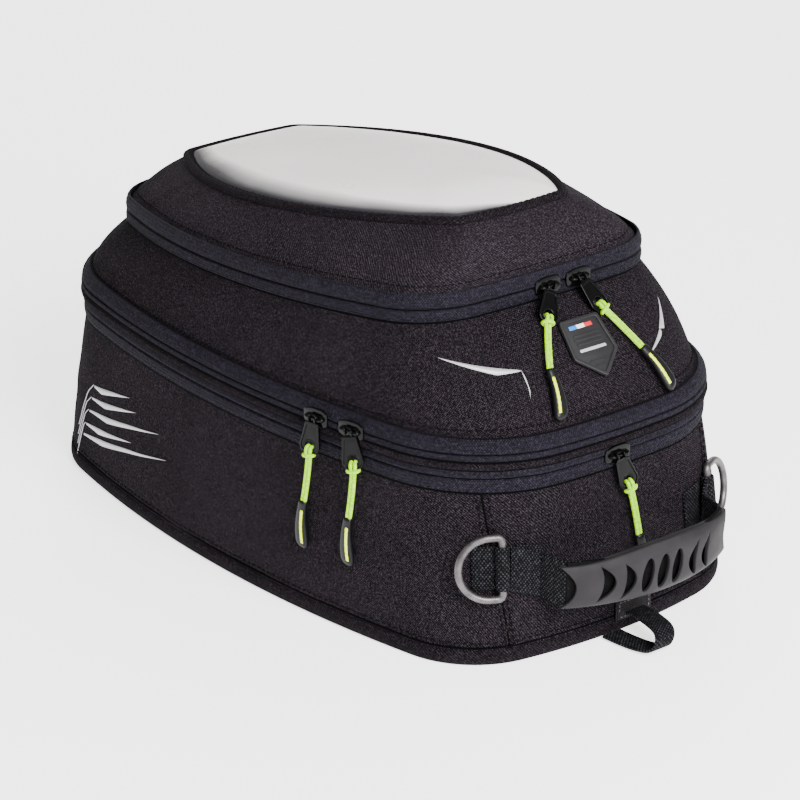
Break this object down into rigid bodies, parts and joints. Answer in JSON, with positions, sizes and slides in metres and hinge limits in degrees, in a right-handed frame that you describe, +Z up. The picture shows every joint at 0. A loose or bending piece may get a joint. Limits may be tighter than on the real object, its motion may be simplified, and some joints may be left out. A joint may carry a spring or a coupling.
{
  "type": "motorcycle tank bag",
  "caption": "Soft motorcycle tank bag with an expanding body, zipped lid and top pocket, clear map window, side rings and a rubber carry handle.",
  "frame": {"origin": "on the underside, below the middle of the bag's length and on its centre line", "axes": "+X towards the handle end, -Y the long side with the main sliders, +Z up; the bag stands on z = 0"},
  "size_m": [0.424, 0.256, 0.2123],
  "materials": {
    "body_cloth": "matt woven polyester",
    "zip_tape": "ribbed woven tape",
    "piping": "matt cloth-covered cord",
    "webbing": "coarse woven webbing",
    "lining": "thin matt cloth",
    "gusset": "plain matt cloth",
    "board": "matt sheet",
    "rubber_sheet": "non-slip, finely dimpled",
    "film": "milky gloss film",
    "rubber_badge": "satin moulded",
    "rubber_grip": "satin moulded",
    "pod_rubber": "satin moulded",
    "ring_metal": "dark nickel",
    "slider_metal": "gloss black",
    "cord_yellow": "bright braided cord",
    "tab_grey": "grey coated tape"
  },
  "bodies": {
    "base": {"base_panel": "rubber_sheet", "base_piping": "piping", "base_board": "board", "tub_shell": "body_cloth", "tub_lining": "lining", "expansion_zip_lower": "zip_tape", "ring_keeper_left": "webbing", "ring_keeper_right": "webbing", "handle_strap_left": "webbing", "handle_strap_right": "webbing", "hem_tab": "tab_grey", "front_loop": "webbing"},
    "rim": {"expansion_zip_upper": "zip_tape", "expansion_gusset": "gusset", "rim_piping": "piping", "main_zip_lower": "zip_tape", "main_hinge_strip": "body_cloth"},
    "lid": {"main_zip_upper": "zip_tape", "lid_shell": "body_cloth", "lid_lining": "lining", "divider_panel": "lining", "upper_zip_lower": "zip_tape", "upper_hinge_strip": "body_cloth", "badge": "rubber_badge"},
    "top_cover": {"upper_zip_upper": "zip_tape", "top_shell": "body_cloth", "top_lining": "lining", "window_binding": "piping", "map_window": "film", "map_pocket_back": "lining"},
    "handle": {"grip": "rubber_grip", "grip_strap": "webbing"},
    "ring_left": {"d_ring_left": "ring_metal"},
    "ring_right": {"d_ring_right": "ring_metal"},
    "slider_main_left": {"slider_main_left": "slider_metal"},
    "pull_main_left": {"puller_main_left": "slider_metal", "pull_cord_main_left": "cord_yellow", "pull_pod_main_left": "pod_rubber"},
    "slider_main_right": {"slider_main_right": "slider_metal"},
    "pull_main_right": {"puller_main_right": "slider_metal", "pull_cord_main_right": "cord_yellow", "pull_pod_main_right": "pod_rubber"},
    "slider_upper_left": {"slider_upper_left": "slider_metal"},
    "pull_upper_left": {"puller_upper_left": "slider_metal", "pull_cord_upper_left": "cord_yellow", "pull_pod_upper_left": "pod_rubber"},
    "slider_upper_right": {"slider_upper_right": "slider_metal"},
    "pull_upper_right": {"puller_upper_right": "slider_metal", "pull_cord_upper_right": "cord_yellow", "pull_pod_upper_right": "pod_rubber"},
    "slider_expansion": {"slider_expansion": "slider_metal"},
    "pull_expansion": {"puller_expansion": "slider_metal", "pull_cord_expansion": "cord_yellow", "pull_pod_expansion": "pod_rubber"}
  },
  "joints": [
    {"name": "expansion_slide", "type": "slide", "parent": "base", "child": "rim", "axis": [0, 0, 1], "range_m": [0, 0.05]},
    {"name": "main_lid_hinge", "type": "hinge", "parent": "rim", "child": "lid", "pos_m": [-0.1934, 0, 0.114], "axis": [0, -1, 0], "range_deg": [0, 95]},
    {"name": "top_cover_hinge", "type": "hinge", "parent": "lid", "child": "top_cover", "pos_m": [-0.17174, 0, 0.14947], "axis": [0, -1, 0], "range_deg": [0, 95]},
    {"name": "handle_swing", "type": "hinge", "parent": "base", "child": "handle", "pos_m": [0.186, 0, 0.0485], "axis": [0, -1, 0], "range_deg": [-25, 40], "stiffness_Nm_per_rad": 0.15},
    {"name": "ring_left_swing", "type": "hinge", "parent": "base", "child": "ring_left", "pos_m": [0.18458, -0.07021, 0.05459], "axis": [-0.1148, 0.0598, 0.9916], "range_deg": [0, 100]},
    {"name": "ring_right_swing", "type": "hinge", "parent": "base", "child": "ring_right", "pos_m": [0.18458, 0.07021, 0.05459], "axis": [0.1148, 0.0598, -0.9916], "range_deg": [0, 100]},
    {"name": "slide_main_left", "type": "hinge", "parent": "rim", "child": "slider_main_left", "pos_m": [-0.036, 0.536, 0.114], "axis": [0, 0, 1], "range_deg": [-16, 0]},
    {"name": "slide_main_right", "type": "hinge", "parent": "rim", "child": "slider_main_right", "pos_m": [-0.036, 0.536, 0.114], "axis": [0, 0, 1], "range_deg": [0, 1.4]},
    {"name": "slide_upper_left", "type": "hinge", "parent": "lid", "child": "slider_upper_left", "pos_m": [-0.51404, 0, 0.11953], "axis": [-0.0872, 0, 0.9962], "range_deg": [-3.2, 0]},
    {"name": "slide_upper_right", "type": "hinge", "parent": "lid", "child": "slider_upper_right", "pos_m": [-0.51404, 0, 0.11953], "axis": [-0.0872, 0, 0.9962], "range_deg": [0, 1.9]},
    {"name": "slide_expansion", "type": "hinge", "parent": "base", "child": "slider_expansion", "pos_m": [-0.29, 0, 0.1005], "axis": [0, 0, 1], "range_deg": [-2.5, 0]},
    {"name": "flip_main_left", "type": "hinge", "parent": "slider_main_left", "child": "pull_main_left", "pos_m": [0.0841, -0.11532, 0.114], "axis": [-0.9834, -0.1813, 0], "range_deg": [0, 150]},
    {"name": "flip_main_right", "type": "hinge", "parent": "slider_main_right", "child": "pull_main_right", "pos_m": [0.10812, -0.11043, 0.114], "axis": [-0.976, -0.2176, 0], "range_deg": [0, 150]},
    {"name": "flip_upper_left", "type": "hinge", "parent": "slider_upper_left", "child": "pull_upper_left", "pos_m": [0.13677, -0.00231, 0.17647], "axis": [-0.0035, -1, -0.0003], "range_deg": [0, 150]},
    {"name": "flip_upper_right", "type": "hinge", "parent": "slider_upper_right", "child": "pull_upper_right", "pos_m": [0.13653, 0.01819, 0.17644], "axis": [0.0277, -0.9996, 0.0024], "range_deg": [0, 150]},
    {"name": "flip_expansion", "type": "hinge", "parent": "slider_expansion", "child": "pull_expansion", "pos_m": [0.1913, 0.0005, 0.1005], "axis": [0.001, -1, 0], "range_deg": [0, 8]}
  ]
}
